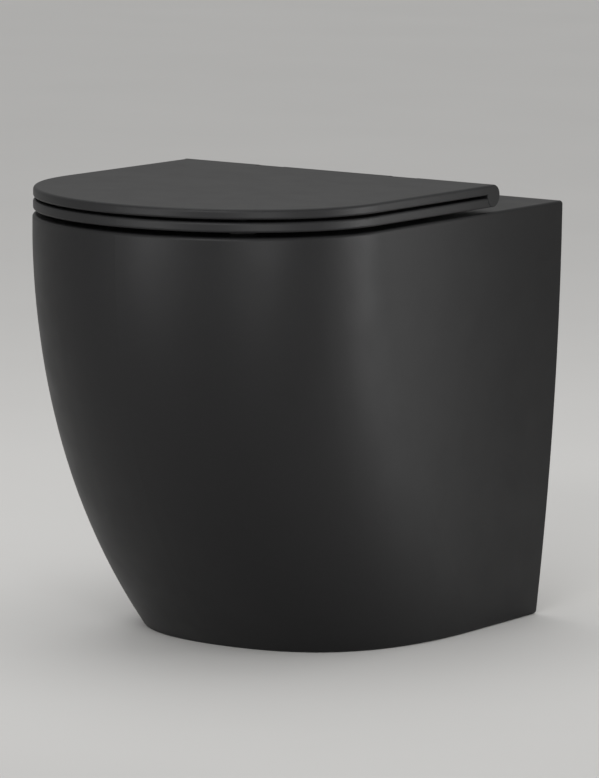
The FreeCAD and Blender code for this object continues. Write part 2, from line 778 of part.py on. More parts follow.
def seat_ring():
    # Slab with the opening, the middle knuckle and a hollow end towards the lid's knuckles.
    plate = slab(seat_bottom, seat_thickness, 0)
    plate = plate.makeFillet(slab_edge_round, outer_edges(plate, seat_top) + outer_edges(plate, seat_bottom))
    opening_half = pan_width / 2 - rim_side - seat_opening_overhang
    opening_front = pan_length - rim_front - seat_opening_overhang
    opening_rear = bowl_rear + seat_opening_overhang
    opening = egg_outline(opening_half, opening_rear, bowl_widest, opening_front, seat_bottom)
    plate = plate.cut(Part.Face(opening).extrude(up * seat_thickness))
    mouth = edges_where(plate, lambda e: e.isClosed() and e.BoundBox.XLength > opening_half)
    plate = plate.makeFillet(seat_opening_round, mouth)
    plate = plate.cut(post_notches(seat_bottom, seat_top))
    for side in (1, -1):
        plate = plate.cut(barrel_rod(notch_radius, side * seat_knuckle_end, side * pan_width / 2))
    plate = plate.fuse(barrel_rod(barrel_radius, -seat_knuckle_end, seat_knuckle_end)).removeSplitter()
    bores = [
        knuckle_bore(seat_damper_side, seat_knuckle_end, -1, damper_length),
        knuckle_bore(-seat_damper_side, seat_knuckle_end, -1, bush_length),
    ]
    plugs = [buffer_plug(x, d, seat_bottom, buffer_clearance) for x, d, turn in seat_buffer_places()]
    return plate.cut(bores + plugs)


def lid_knuckle(side):
    # Round end of the lid, with its outer rim rounded.
    knuckle = barrel_rod(barrel_radius, side * lid_knuckle_end, side * lid_half_width)
    rim = edges_where(knuckle, lambda e: e.isClosed() and abs(e.BoundBox.Center.x) > lid_half_width - 1)
    return knuckle.makeFillet(knuckle_edge_round, rim)


def lid():
    # Slab with two outer knuckles and a shallow recess underneath.
    plate = slab(lid_bottom, lid_thickness, 0)
    plate = plate.makeFillet(slab_edge_round, outer_edges(plate, lid_bottom))
    plate = plate.makeFillet(lid_top_round, outer_edges(plate, lid_top))
    barrel_room = barrel_rod(notch_radius, -lid_knuckle_end, lid_knuckle_end)
    plate = plate.cut(post_notches(lid_bottom, lid_top) + [barrel_room])
    plate = plate.multiFuse(pair(lid_knuckle)).removeSplitter()
    recess = slab(lid_bottom, lid_recess_depth, lid_recess_inset)
    recess_rear = axis_y - lid_recess_inset
    rear_corners = edges_where(recess, lambda e: e.BoundBox.YMin > recess_rear - 1 and e.BoundBox.ZLength > 1)
    recess = recess.makeFillet(lid_recess_corner, rear_corners)
    bores = [
        knuckle_bore(lid_damper_side, lid_knuckle_end, 1, damper_length),
        knuckle_bore(-lid_damper_side, lid_knuckle_end, 1, bush_length),
    ]
    plugs = [buffer_plug(x, d, lid_bottom, buffer_clearance) for x, d in lid_buffer_places()]
    return plate.cut([recess] + bores + plugs)


def buffer_plug(x, setback, z, clearance):
    return rod(buffer_plug_radius + clearance, at(x, setback, z), up, buffer_plug_depth + clearance)


def seat_buffer_places():
    # Offset, setback and turn of each pad under the seat.
    side_offset = lid_half_width - buffer_side_inset
    front_setback = pan_length - buffer_front_inset
    places = []
    for side in (1, -1):
        places.append((side * side_offset, buffer_side_setback, 0))
        places.append((side * buffer_front_offset, front_setback, -side * buffer_front_turn))
    return places


def lid_buffer_places():
    side_offset = lid_half_width - lid_buffer_side_inset
    places = []
    for side in (1, -1):
        places.append((side * side_offset, buffer_side_setback))
        places.append((side * lid_buffer_front_offset, pan_length - lid_buffer_front_inset))
    return places


def seat_buffer(x, setback, turn):
    # Oblong rubber pad with a plug into the seat.
    end_radius = buffer_width / 2
    half_run = (buffer_length - buffer_width) / 2
    base = at(x, setback, pan_height)
    corner = FreeCAD.Vector(end_radius, half_run, 0)
    bar = block_between(base - corner, base + corner + up * seat_gap)
    ends = [rod(end_radius, base + back * run, up, seat_gap) for run in (half_run, -half_run)]
    pad = bar.multiFuse(ends).removeSplitter()
    pad.rotate(base, up, turn)
    return pad.fuse(buffer_plug(x, setback, seat_bottom, 0)).removeSplitter()


def lid_buffer(x, setback):
    pad = rod(lid_buffer_radius, at(x, setback, seat_top), up, slot_height)
    return pad.fuse(buffer_plug(x, setback, lid_bottom, 0)).removeSplitter()


def save(node, shapes):
    shape = shapes[0] if len(shapes) == 1 else Part.makeCompound(shapes)
    shape.exportStep("parts/" + node + ".step")
    print(node, [(solid.isValid(), round(solid.Volume, 1)) for solid in shape.Solids])


os.makedirs("parts", exist_ok=True)
save("pan_skirt", [pan_skirt()])
save("pan_bowl", [pan_bowl()])
save("pan_trapway", [pan_trapway()])
save("pan_flush_channel", [pan_flush_channel()])
save("flush_inlet_seal", [flush_inlet_seal()])
save("clamp_screws", pair(clamp_screw))
save("clamp_washers", pair(clamp_washer))
save("clamp_nuts", pair(clamp_nut))
for side, name in ((1, "right"), (-1, "left")):
    save("floor_bracket_" + name, [floor_bracket(side)])
    save("hinge_post_" + name, [hinge_post(side)])
    save("rosette_" + name, [rosette(side)])
    save("hinge_block_" + name, [hinge_block(side)])
    save("release_button_" + name, [release_button(side)])
    save("release_spring_" + name, [release_spring(side)])
save("hinge_gaskets", pair(hinge_gasket))
save("hinge_sleeves", pair(hinge_sleeve))
save("hinge_washers", pair(hinge_washer))
save("wing_nuts", pair(wing_nut))
save("lid_damper_housing", [damper_housing(lid_damper_side, lid_knuckle_end, 1)])
save("lid_damper_rotor", [damper_rotor(lid_damper_side, lid_knuckle_end, 1, block_outer_x)])
save("lid_bush", [pivot_bush(-lid_damper_side, lid_knuckle_end, 1)])
save("lid_pivot_pin", [pivot_pin(-lid_damper_side, lid_knuckle_end, 1, block_outer_x)])
save("seat_damper_housing", [damper_housing(seat_damper_side, seat_knuckle_end, -1)])
save("seat_damper_rotor", [damper_rotor(seat_damper_side, seat_knuckle_end, -1, block_inner_x)])
save("seat_bush", [pivot_bush(-seat_damper_side, seat_knuckle_end, -1)])
save("seat_pivot_pin", [pivot_pin(-seat_damper_side, seat_knuckle_end, -1, block_inner_x)])
save("seat_ring", [seat_ring()])
save("seat_buffers", [seat_buffer(x, d, turn) for x, d, turn in seat_buffer_places()])
save("lid", [lid()])
save("lid_buffers", [lid_buffer(x, d) for x, d in lid_buffer_places()])
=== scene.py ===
import json
import math
import bmesh
import bpy
import numpy as np
from mathutils import Matrix, Vector


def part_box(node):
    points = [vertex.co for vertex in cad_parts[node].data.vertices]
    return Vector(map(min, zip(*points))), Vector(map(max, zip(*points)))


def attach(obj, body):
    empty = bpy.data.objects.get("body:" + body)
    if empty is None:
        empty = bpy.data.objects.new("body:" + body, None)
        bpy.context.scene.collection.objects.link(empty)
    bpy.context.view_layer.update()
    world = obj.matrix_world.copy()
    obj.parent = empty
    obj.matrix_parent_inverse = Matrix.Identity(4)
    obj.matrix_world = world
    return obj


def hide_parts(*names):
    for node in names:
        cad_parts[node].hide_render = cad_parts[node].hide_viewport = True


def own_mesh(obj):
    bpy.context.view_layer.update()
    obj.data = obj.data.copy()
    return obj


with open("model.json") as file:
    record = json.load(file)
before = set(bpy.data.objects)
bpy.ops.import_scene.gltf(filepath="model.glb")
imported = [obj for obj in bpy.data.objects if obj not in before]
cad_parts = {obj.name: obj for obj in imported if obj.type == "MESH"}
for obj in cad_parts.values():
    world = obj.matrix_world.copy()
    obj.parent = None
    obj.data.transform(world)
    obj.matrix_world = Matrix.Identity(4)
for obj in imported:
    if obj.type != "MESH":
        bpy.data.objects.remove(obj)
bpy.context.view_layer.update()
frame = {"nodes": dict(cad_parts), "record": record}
scene = bpy.context.scene
scene.view_settings.view_transform = "Standard"
mm = 0.001
print("frame loaded with", len(frame["nodes"]), "nodes")


def toLinear(hexColour):
    # sRGB hex to linear, a power curve above the dark toe and a straight line in it
    channels = [int(hexColour[i:i + 2], 16) / 255 for i in (1, 3, 5)]
    return [c / 12.92 if c <= 0.04045 else ((c + 0.055) / 1.055) ** 2.4 for c in channels] + [1.0]


def addNode(tree, kind, settings=None, inputs=None):
    # settings are the node's own options, inputs go by socket name or number and are values or links
    node = tree.nodes.new("ShaderNode" + kind)
    for name, value in (settings or {}).items():
        setattr(node, name, value)
    for key, value in (inputs or {}).items():
        if isinstance(value, bpy.types.NodeSocket):
            tree.links.new(value, node.inputs[key])
        else:
            node.inputs[key].default_value = value
    return node


def mathValue(tree, operation, *terms):
    return addNode(tree, "Math", {"operation": operation}, dict(enumerate(terms))).outputs["Value"]


def noiseValue(tree, place, sizeInMm, detail, roughness=0.5):
    # 0 to 1, in features of about this size
    return addNode(tree, "TexNoise", None,
                   {"Vector": place, "Scale": 1000 / sizeInMm, "Detail": detail,
                    "Roughness": roughness}).outputs["Fac"]


def spreadValue(tree, value, spread, ends):
    # carries a spread of values to new ends, and stops there
    return addNode(tree, "MapRange", None,
                   {"Value": value, "From Min": spread[0], "From Max": spread[1],
                    "To Min": ends[0], "To Max": ends[1]}).outputs["Result"]


def mixColours(tree, share, first, second):
    # sockets by number, because a Mix node has some of the same name for each kind of value
    return addNode(tree, "Mix", {"data_type": "RGBA"}, {0: share, 6: first, 7: second}).outputs[2]


def mixNumbers(tree, share, first, second):
    return addNode(tree, "Mix", {"data_type": "FLOAT"}, {0: share, 2: first, 3: second}).outputs[0]


def bumpNormal(tree, height, depthInMm, strength, under=None):
    # under is the normal of a coarser bump that this one lies on
    inputs = {"Height": height, "Distance": depthInMm * mm, "Strength": strength}
    if under is not None:
        inputs["Normal"] = under
    return addNode(tree, "Bump", None, inputs).outputs["Normal"]


def startMaterial(name):
    material = bpy.data.materials.new(name)
    material.use_nodes = True
    tree = material.node_tree
    shader = tree.nodes["Principled BSDF"]
    coords = addNode(tree, "TexCoord")
    return material, tree, shader, coords.outputs


def dressShader(tree, shader, colour, shine, normal):
    tree.links.new(colour, shader.inputs["Base Color"])
    tree.links.new(shine, shader.inputs["Roughness"])
    tree.links.new(normal, shader.inputs["Normal"])


noiseSpread = (0.3, 0.7)  # where nearly all of a noise's values lie

# Where the spray gun never reached, the fired body stays bare. Places in metres, in the part's own frame,
# and the size of the overspray's ragged edge in mm.
bareZones = {"skirtMiddle": (0, 0.05, 0.2), "bowlMouth": (0, -0.06, 0.5),
             "lugHeight": 0.0655, "lugReach": 0.15, "lugFront": 0.19,
             "spray": (0.218, 0.252), "sprayRagged": 9, "sprayWander": 0.024,
             "outletAxis": 0.185, "outletBore": 0.0455, "outletDepth": 0.1735,
             "boreEdge": -1e-8}  # a hair below nothing, so that the middle line isn't taken for a bore


def facingAway(tree, place, normal, middle):
    # above 0 where a face looks away from the middle, below 0 where it looks back at it
    outward = addNode(tree, "VectorMath", {"operation": "SUBTRACT"}, {0: place, 1: middle}).outputs["Vector"]
    return addNode(tree, "VectorMath", {"operation": "DOT_PRODUCT"}, {0: outward, 1: normal}).outputs["Value"]


def notInBore(tree, normal, axes):
    # 0 on the inside of a bore, 1 elsewhere: the bores bend only in the middle plane, so a face that looks
    # back at that plane is inside one
    turned = addNode(tree, "SeparateXYZ", None, {"Vector": normal}).outputs
    lookingOut = mathValue(tree, "MULTIPLY", axes["X"], turned["X"])
    return mathValue(tree, "GREATER_THAN", lookingOut, bareZones["boreEdge"])


def bareInsideSkirt(tree, place, normal, axes):
    # faces turned to the skirt's middle, and the lugs, with a ragged edge of overspray towards the open back
    turnedIn = mathValue(tree, "LESS_THAN", facingAway(tree, place, normal, bareZones["skirtMiddle"]), 0.0)
    halfWidth = mathValue(tree, "ABSOLUTE", axes["X"])
    withinLug = mathValue(tree, "LESS_THAN", halfWidth, bareZones["lugReach"])
    lowEnough = mathValue(tree, "LESS_THAN", axes["Z"], bareZones["lugHeight"])
    farBack = mathValue(tree, "GREATER_THAN", axes["Y"], bareZones["lugFront"])
    lug = mathValue(tree, "MULTIPLY", mathValue(tree, "MULTIPLY", withinLug, lowEnough), farBack)
    inside = mathValue(tree, "MAXIMUM", turnedIn, lug)
    ragged = noiseValue(tree, place, bareZones["sprayRagged"], 5.0, 0.65)
    reached = mathValue(tree, "MULTIPLY_ADD", ragged, bareZones["sprayWander"], axes["Y"])
    fade = spreadValue(tree, reached, bareZones["spray"], (1.0, 0.0))
    return mathValue(tree, "MULTIPLY", inside, fade)


def bareOutsideBowl(tree, place, normal, axes):
    # faces turned away from the bowl's mouth, but not the two passages through its wall
    turnedOut = mathValue(tree, "GREATER_THAN", facingAway(tree, place, normal, bareZones["bowlMouth"]), 0.0)
    return mathValue(tree, "MULTIPLY", turnedOut, notInBore(tree, normal, axes))


def bareOutsideTrapway(tree, place, normal, axes):
    # all but the passage and the step where the outlet's bore meets it
    above = mathValue(tree, "SUBTRACT", axes["Z"], bareZones["outletAxis"])
    across = addNode(tree, "CombineXYZ", None, {"X": axes["X"], "Y": above}).outputs["Vector"]
    reach = addNode(tree, "VectorMath", {"operation": "LENGTH"}, {0: across}).outputs["Value"]
    pastBore = mathValue(tree, "GREATER_THAN", reach, bareZones["outletBore"])
    deeper = mathValue(tree, "LESS_THAN", axes["Y"], bareZones["outletDepth"])
    pastStep = mathValue(tree, "MAXIMUM", pastBore, deeper)
    return mathValue(tree, "MULTIPLY", pastStep, notInBore(tree, normal, axes))


def bareOutsideChannel(tree, place, normal, axes):
    # all but the passage
    return notInBore(tree, normal, axes)


# Vitreous china under a matt black glaze, sprayed and fired: an even, soft sheen over a faintly wavy cast
# wall, a fine pebble where the drops landed, and chalky cream body with kiln stains where the spray never
# came. The glaze's fine crystals take the edge off its shine. Sizes and depths in mm.
mattGlaze = {"colour": "#141415", "speck": "#1e1e1f", "speckSize": 1.3, "speckSpread": (0.56, 0.78),
             "speckShare": (0.0, 0.5), "roughness": (0.45, 0.51), "cloud": 38, "ior": 1.5, "specular": 0.27,
             "castWave": 55, "waveDepth": 0.2, "waveStrength": 0.35,
             "pebble": 2.6, "pebbleDepth": 0.04, "pebbleStrength": 0.6}
bareChina = {"colour": "#cbc4b8", "stain": "#b5ac9d", "stainSize": 30, "roughness": 0.7,
             "grit": 1.4, "gritDepth": 0.15, "gritStrength": 0.7}


def glazedChina(name, bareWhere):
    material, tree, shader, coords = startMaterial(name)
    place, normal = coords["Object"], coords["Normal"]
    axes = addNode(tree, "SeparateXYZ", None, {"Vector": place}).outputs
    bare = bareWhere(tree, place, normal, axes)
    specks = noiseValue(tree, place, mattGlaze["speckSize"], 1.0)
    speckShare = spreadValue(tree, specks, mattGlaze["speckSpread"], mattGlaze["speckShare"])
    glaze = mixColours(tree, speckShare, toLinear(mattGlaze["colour"]), toLinear(mattGlaze["speck"]))
    stains = noiseValue(tree, place, bareChina["stainSize"], 4.0, 0.6)
    body = mixColours(tree, stains, toLinear(bareChina["colour"]), toLinear(bareChina["stain"]))
    colour = mixColours(tree, bare, glaze, body)
    cloud = noiseValue(tree, place, mattGlaze["cloud"], 3.0)
    sheen = spreadValue(tree, cloud, noiseSpread, mattGlaze["roughness"])
    shine = mixNumbers(tree, bare, sheen, bareChina["roughness"])
    wave = noiseValue(tree, place, mattGlaze["castWave"], 1.0)
    pebble = noiseValue(tree, place, mattGlaze["pebble"], 2.0)
    grit = mathValue(tree, "MULTIPLY", bare, noiseValue(tree, place, bareChina["grit"], 3.0))
    waved = bumpNormal(tree, wave, mattGlaze["waveDepth"], mattGlaze["waveStrength"])
    pebbled = bumpNormal(tree, pebble, mattGlaze["pebbleDepth"], mattGlaze["pebbleStrength"], waved)
    gritty = bumpNormal(tree, grit, bareChina["gritDepth"], bareChina["gritStrength"], pebbled)
    dressShader(tree, shader, colour, shine, gritty)
    shader.inputs["IOR"].default_value = mattGlaze["ior"]
    shader.inputs["Specular IOR Level"].default_value = mattGlaze["specular"]
    return material


# Urea resin, hot-pressed in a polished tool and left satin: dense and even, with a hair of cloudiness.
# Sizes and depths in mm.
pressedResin = {"colour": "#171718", "cloudColour": "#19191a", "cloud": 30, "roughness": (0.475, 0.505),
                "grain": 1.8, "grainDepth": 0.02, "grainStrength": 0.5, "ior": 1.54, "specular": 0.27}


def pressedUreaResin(name):
    material, tree, shader, coords = startMaterial(name)
    place = coords["Object"]
    cloud = noiseValue(tree, place, pressedResin["cloud"], 3.0)
    colour = mixColours(tree, cloud, toLinear(pressedResin["colour"]), toLinear(pressedResin["cloudColour"]))
    shine = spreadValue(tree, cloud, noiseSpread, pressedResin["roughness"])
    grain = noiseValue(tree, place, pressedResin["grain"], 2.0)
    grained = bumpNormal(tree, grain, pressedResin["grainDepth"], pressedResin["grainStrength"])
    dressShader(tree, shader, colour, shine, grained)
    shader.inputs["IOR"].default_value = pressedResin["ior"]
    shader.inputs["Specular IOR Level"].default_value = pressedResin["specular"]
    return material


# The small finishes share one build: two colours that drift into each other, a shine that wanders and a
# fine relief. drift, wander and relief are feature sizes in mm; depth is the relief's, in mm, and both are
# drawn a little coarse so that they show.
smallFinishes = {
    # rubber, compression moulded: dull, with a pale bloom that comes out of it in time
    "black_rubber": {"name": "mouldedRubber", "colours": ("#0d0d0d", "#171716"), "drift": 7,
                     "roughness": (0.66, 0.8), "wander": 5, "relief": 0.8, "depth": 0.05, "ior": 1.52},
    # steel, zinc plated and passivated: bright grey that drifts from bluish to straw
    "zinc_plated_steel": {"name": "zincPlatedSteel", "colours": ("#bfc4ca", "#c6c4bc"), "drift": 5,
                          "roughness": (0.27, 0.42), "wander": 4, "relief": 1.2, "depth": 0.03, "metal": 1.0},
    # stainless steel, turned in a lathe: plain grey, with fine tool lines round it
    "stainless_steel": {"name": "turnedStainlessSteel", "colours": ("#b3b1ad", "#c0beba"), "drift": 5,
                        "roughness": (0.22, 0.34), "wander": 2, "relief": 0.6, "depth": 0.015, "metal": 1.0,
                        "stretch": (1, 1, 12)},
    # steel, powder coated: soft black with the slight orange peel of melted powder
    "black_coated_steel": {"name": "powderCoatedSteel", "colours": ("#191919", "#1e1e1f"), "drift": 6,
                           "roughness": (0.44, 0.54), "wander": 4, "relief": 1.4, "depth": 0.03, "ior": 1.5},
    # nylon, injection moulded in a spark-eroded tool: even black with a fine matt grain
    "black_nylon": {"name": "mouldedNylon", "colours": ("#171718", "#1d1d1e"), "drift": 10,
                    "roughness": (0.48, 0.58), "wander": 6, "relief": 0.7, "depth": 0.03, "ior": 1.53},
    # acetal, injection moulded in a polished tool: milky white and slippery
    "white_acetal": {"name": "mouldedAcetal", "colours": ("#e4e2dc", "#dad8d1"), "drift": 12,
                     "roughness": (0.3, 0.38), "wander": 8, "relief": 2.0, "depth": 0.01, "ior": 1.48},
}
smallBuild = {"driftSpread": (0.35, 0.65), "driftShare": (0.0, 1.0), "reliefStrength": 0.7}


def smallFinish(look):
    material, tree, shader, coords = startMaterial(look["name"])
    place = addNode(tree, "Mapping", None,
                    {"Vector": coords["Object"], "Scale": look.get("stretch", (1, 1, 1))}).outputs["Vector"]
    drift = noiseValue(tree, place, look["drift"], 3.0)
    driftShare = spreadValue(tree, drift, smallBuild["driftSpread"], smallBuild["driftShare"])
    first, second = look["colours"]
    colour = mixColours(tree, driftShare, toLinear(first), toLinear(second))
    wander = noiseValue(tree, place, look["wander"], 2.0)
    shine = spreadValue(tree, wander, noiseSpread, look["roughness"])
    relief = noiseValue(tree, place, look["relief"], 2.0)
    raised = bumpNormal(tree, relief, look["depth"], smallBuild["reliefStrength"])
    dressShader(tree, shader, colour, shine, raised)
    shader.inputs["Metallic"].default_value = look.get("metal", 0.0)
    if "ior" in look:
        shader.inputs["IOR"].default_value = look["ior"]
    return material


finishes = {slotName: smallFinish(look) for slotName, look in smallFinishes.items()}
finishes["moulded_black_resin"] = pressedUreaResin("pressedUreaResin")
castings = {
    "pan_skirt": glazedChina("mattGlazedSkirt", bareInsideSkirt),
    "pan_bowl": glazedChina("mattGlazedBowl", bareOutsideBowl),
    "pan_trapway": glazedChina("bareChinaTrapway", bareOutsideTrapway),
    "pan_flush_channel": glazedChina("bareChinaChannel", bareOutsideChannel),
}
for entry in frame["record"]["subparts"]:
    nodeObject = frame["nodes"][entry["node"]]
    nodeObject.data.materials.clear()
    nodeObject.data.materials.append(castings.get(entry["node"]) or finishes[entry["material_slot"]])

sharpFrom = 35  # degrees between faces, past which an edge stays crisp


def buildPiece(name, shells, slotName, body, replaced):
    # shells are stacks of closed rings in mm: a looped stack joins its last ring to its first, any other is
    # capped flat
    points, faces, start = [], [], 0
    for rings, looped in shells:
        rows, columns = rings.shape[:2]
        row, column = np.meshgrid(np.arange(rows if looped else rows - 1), np.arange(columns), indexing="ij")
        nextRow, nextColumn = (row + 1) % rows, (column + 1) % columns
        quads = np.stack([row * columns + column, row * columns + nextColumn,
                          nextRow * columns + nextColumn, nextRow * columns + column], -1)
        faces += (quads.reshape(-1, 4) + start).tolist()
        if not looped:
            firstRing = np.arange(columns) + start
            lastRing = firstRing + (rows - 1) * columns
            faces += [firstRing.tolist(), lastRing.tolist()]
        points.append(rings.reshape(-1, 3) * mm)
        start += rows * columns
    mesh = bpy.data.meshes.new(name)
    mesh.from_pydata(np.concatenate(points).tolist(), [], faces)
    work = bmesh.new()
    work.from_mesh(mesh)
    bmesh.ops.recalc_face_normals(work, faces=work.faces)
    work.to_mesh(mesh)
    work.free()
    mesh.shade_smooth()
    mesh.set_sharp_from_angle(angle=math.radians(sharpFrom))
    mesh.materials.append(finishes[slotName])
    piece = bpy.data.objects.new(name, mesh)
    scene.collection.objects.link(piece)
    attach(piece, body)
    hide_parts(*replaced)
    return piece


def nodeBox(node):
    # lowest and highest corner of a CAD node, in mm
    low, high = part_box(node)
    return np.array(low) / mm, np.array(high) / mm


def lathe(radii, along, centre, axis):
    # rings about an axis: each point is its radius turned round the axis, at its place along it
    turn = np.linspace(0, 2 * np.pi, radii.shape[1], endpoint=False)
    along = np.broadcast_to(np.reshape(along, (len(radii), -1)), radii.shape)
    across, aside = radii * np.cos(turn), radii * np.sin(turn)
    return np.stack((across, aside, along) if axis == "z" else (across, along, aside), -1) + np.array(centre)


def plainRings(profile, columns):
    # a list of radius and place pairs, each radius the same all round
    radius, place = np.array(profile, float).T
    return np.repeat(radius[:, None], columns, 1), place


threadForm = {"steeper": 1.5, "lower": 0.25}  # makes a sixth of the wave flat at the crest and at the root


def threadRadii(along, settings, hand):
    # the outer radius less a clipped triangle wave that climbs one pitch in each turn
    turn = np.linspace(0, 1, settings["columns"], endpoint=False)
    phase = np.mod(along[:, None] / settings["pitch"] - hand * turn, 1)
    wave = threadForm["steeper"] * np.abs(2 * phase - 1) - threadForm["lower"]
    return settings["thread"] - settings["depth"] * np.clip(wave, 0, 1)


def hexRadii(columns, corner):
    # half the width across flats over the cosine of the turn from the middle of the flat
    turn = np.linspace(0, 2 * np.pi, columns, endpoint=False)
    return corner * np.cos(np.pi / 6) / np.cos(np.mod(turn, np.pi / 3) - np.pi / 6)


# Hinge posts: a rolled thread through the deck, then disc, boss and grooved latch pin as turned steps.
# Steps are radius and height above the deck.
hingePost = {"thread": 4.0, "pitch": 1.25, "depth": 0.62, "rowsPerPitch": 6, "columns": 40, "tipChamfer": 0.9,
             "threadEnd": -1.5,
             "steps": ((4.0, -1.2), (4.0, 0.8), (17.7, 0.8), (18.0, 1.1), (18.0, 1.7), (17.7, 2.0),
                       (5.0, 2.0), (5.0, 8.9), (4.6, 9.25), (2.5, 9.25), (2.5, 13.75), (1.6, 13.75),
                       (1.6, 16.75), (2.5, 16.75), (2.5, 18.2), (2.0, 18.65))}
deckTop = nodeBox("pan_skirt")[1][2]


def turnedPost(side):
    low, high = nodeBox("hinge_post_" + side)
    middle = ((low + high) / 2 * (1, 1, 0)).tolist()
    length = deckTop + hingePost["threadEnd"] - low[2]
    rows = int(length / hingePost["pitch"] * hingePost["rowsPerPitch"])
    along = np.linspace(low[2], low[2] + length, rows)
    radii = threadRadii(along, hingePost, 1)
    tip = hingePost["thread"] - hingePost["tipChamfer"] + (along - low[2])
    thread = lathe(np.minimum(radii, tip[:, None]), along, middle, "z")
    stepRadii, stepHeight = plainRings(hingePost["steps"], hingePost["columns"])
    steps = lathe(stepRadii, deckTop + stepHeight, middle, "z")
    buildPiece("turnedPost_" + side, [(np.concatenate([thread, steps]), False)], "stainless_steel", "pan",
               ["hinge_post_" + side])
    return middle


postMiddles = [turnedPost(side) for side in ("right", "left")]

# Wing nuts: a flanged hub with a bore, and two ears whose oval section is carried outwards, deepens and
# rounds off. The hub is radius and depth below its top; ear heights are depths too, first value and change.
wingNut = {"hub": ((4.5, 0.0), (7.5, 0.0), (8.0, 0.5), (8.0, 2.2), (7.2, 3.2), (6.6, 10.8), (6.0, 12.0),
                   (4.5, 12.0), (4.05, 11.5), (4.05, 0.5)),
           "columns": 48, "earFrom": 4.8, "earTo": 17.0, "earTop": (3.2, 1.4), "earLow": (11.2, 4.7),
           "earLowFull": 0.65, "sheet": (1.5, 1.2), "roundFrom": 0.62, "roundEnd": 0.995,
           "sections": 26, "sectionPoints": 40, "squareness": 3.2}


def wingEar(middle, top, side):
    # section: a superellipse, signed powers of cosine and sine; at the tip its height shrinks as a quarter
    # circle
    share = np.linspace(0, 1, wingNut["sections"])[:, None]
    turn = np.linspace(0, 2 * np.pi, wingNut["sectionPoints"], endpoint=False)[None, :]
    power = 2 / wingNut["squareness"]
    across = np.sign(np.cos(turn)) * np.abs(np.cos(turn)) ** power
    upward = np.sign(np.sin(turn)) * np.abs(np.sin(turn)) ** power
    pastRound = (share - wingNut["roundFrom"]) / (1 - wingNut["roundFrom"])
    shrink = np.sqrt(1 - np.clip(pastRound, 0, wingNut["roundEnd"]) ** 2)
    lowered = np.sin(np.pi / 2 * np.clip(share / wingNut["earLowFull"], 0, 1))
    earTop = wingNut["earTop"][0] + wingNut["earTop"][1] * share ** 2
    earLow = wingNut["earLow"][0] + wingNut["earLow"][1] * lowered
    halfSheet = wingNut["sheet"][0] + (wingNut["sheet"][1] - wingNut["sheet"][0]) * share
    reach = wingNut["earFrom"] + (wingNut["earTo"] - wingNut["earFrom"]) * share
    y = middle[1] + halfSheet * np.sqrt(shrink) * across
    x = np.broadcast_to(middle[0] + side * reach, y.shape)
    z = top - (earTop + earLow) / 2 + (earLow - earTop) / 2 * shrink * upward
    return np.stack([x, y, z], -1)


def mouldedWingNuts():
    top = nodeBox("wing_nuts")[1][2]
    hubRadii, hubDrop = plainRings(wingNut["hub"], wingNut["columns"])
    shells = []
    for middle in postMiddles:
        shells.append((lathe(hubRadii, top - hubDrop, middle, "z"), True))
        shells += [(wingEar(middle, top, side), False) for side in (1, -1)]
    buildPiece("mouldedWingNuts", shells, "black_nylon", "pan", ["wing_nuts"])


mouldedWingNuts()
print("hinge posts and wing nuts built")

# Release springs: a round wire carried along a helix that advances evenly
releaseSpring = {"wire": 0.45, "radius": 1.6, "turns": 3, "press": 2.0, "rows": 200, "columns": 12}


def coiledSpring(side):
    # centre line: a radius turned about Y; the wire's circle lies between the outward direction and the cross
    # of the line's own direction with it
    low, high = nodeBox("release_spring_" + side)
    middle = (low + high) / 2
    halfWire, length = releaseSpring["wire"] / 2, high[1] - low[1]
    share = np.linspace(0, 1, releaseSpring["rows"])
    turn = share * releaseSpring["turns"] * 2 * np.pi
    outward = np.stack([np.cos(turn), np.zeros(len(turn)), np.sin(turn)], -1)
    centre = np.array((middle[0], low[1] + halfWire, middle[2])) + releaseSpring["radius"] * outward
    centre[:, 1] += share * (length - 2 * halfWire)
    along = np.gradient(centre, axis=0)
    across = np.cross(along / np.linalg.norm(along, axis=1, keepdims=True), outward)
    around = np.linspace(0, 2 * np.pi, releaseSpring["columns"], endpoint=False)[None, :, None]
    circles = np.cos(around) * outward[:, None] + np.sin(around) * across[:, None]
    rings = centre[:, None] + halfWire * circles
    spring = buildPiece("coiledSpring_" + side, [(rings, False)], "stainless_steel", "pan",
                        ["release_spring_" + side])
    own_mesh(spring)


coiledSpring("right")
coiledSpring("left")
print("release springs built")

# Clamp screws and nuts: six flats cut down by a chamfer cone, and a thread to the screw's tip.
# Limits are place along the axis from the outer face and the largest radius there.
clampSet = {"corner": 7.0, "thread": 4.0, "pitch": 1.25, "depth": 0.62, "rowsPerPitch": 6, "columns": 72,
            "tipChamfer": 0.9, "headHeight": 5.3,
            "headLimits": ((0.0, 5.7), (0.38, 6.36), (0.76, 7.1), (4.8, 7.1), (4.8, 6.0), (5.3, 6.0)),
            "nutLimits": ((0.0, 5.9), (0.3, 6.45), (0.6, 7.1), (5.9, 7.1), (6.2, 6.45), (6.5, 5.9)),
            "nutBore": ((6.5, 4.7), (5.9, 4.05), (0.6, 4.05), (0.0, 4.7))}


def cutFlats(limits):
    # the nearer of flat and cone, all round
    place, largest = np.array(limits).T
    return np.minimum(hexRadii(clampSet["columns"], clampSet["corner"])[None, :], largest[:, None]), place


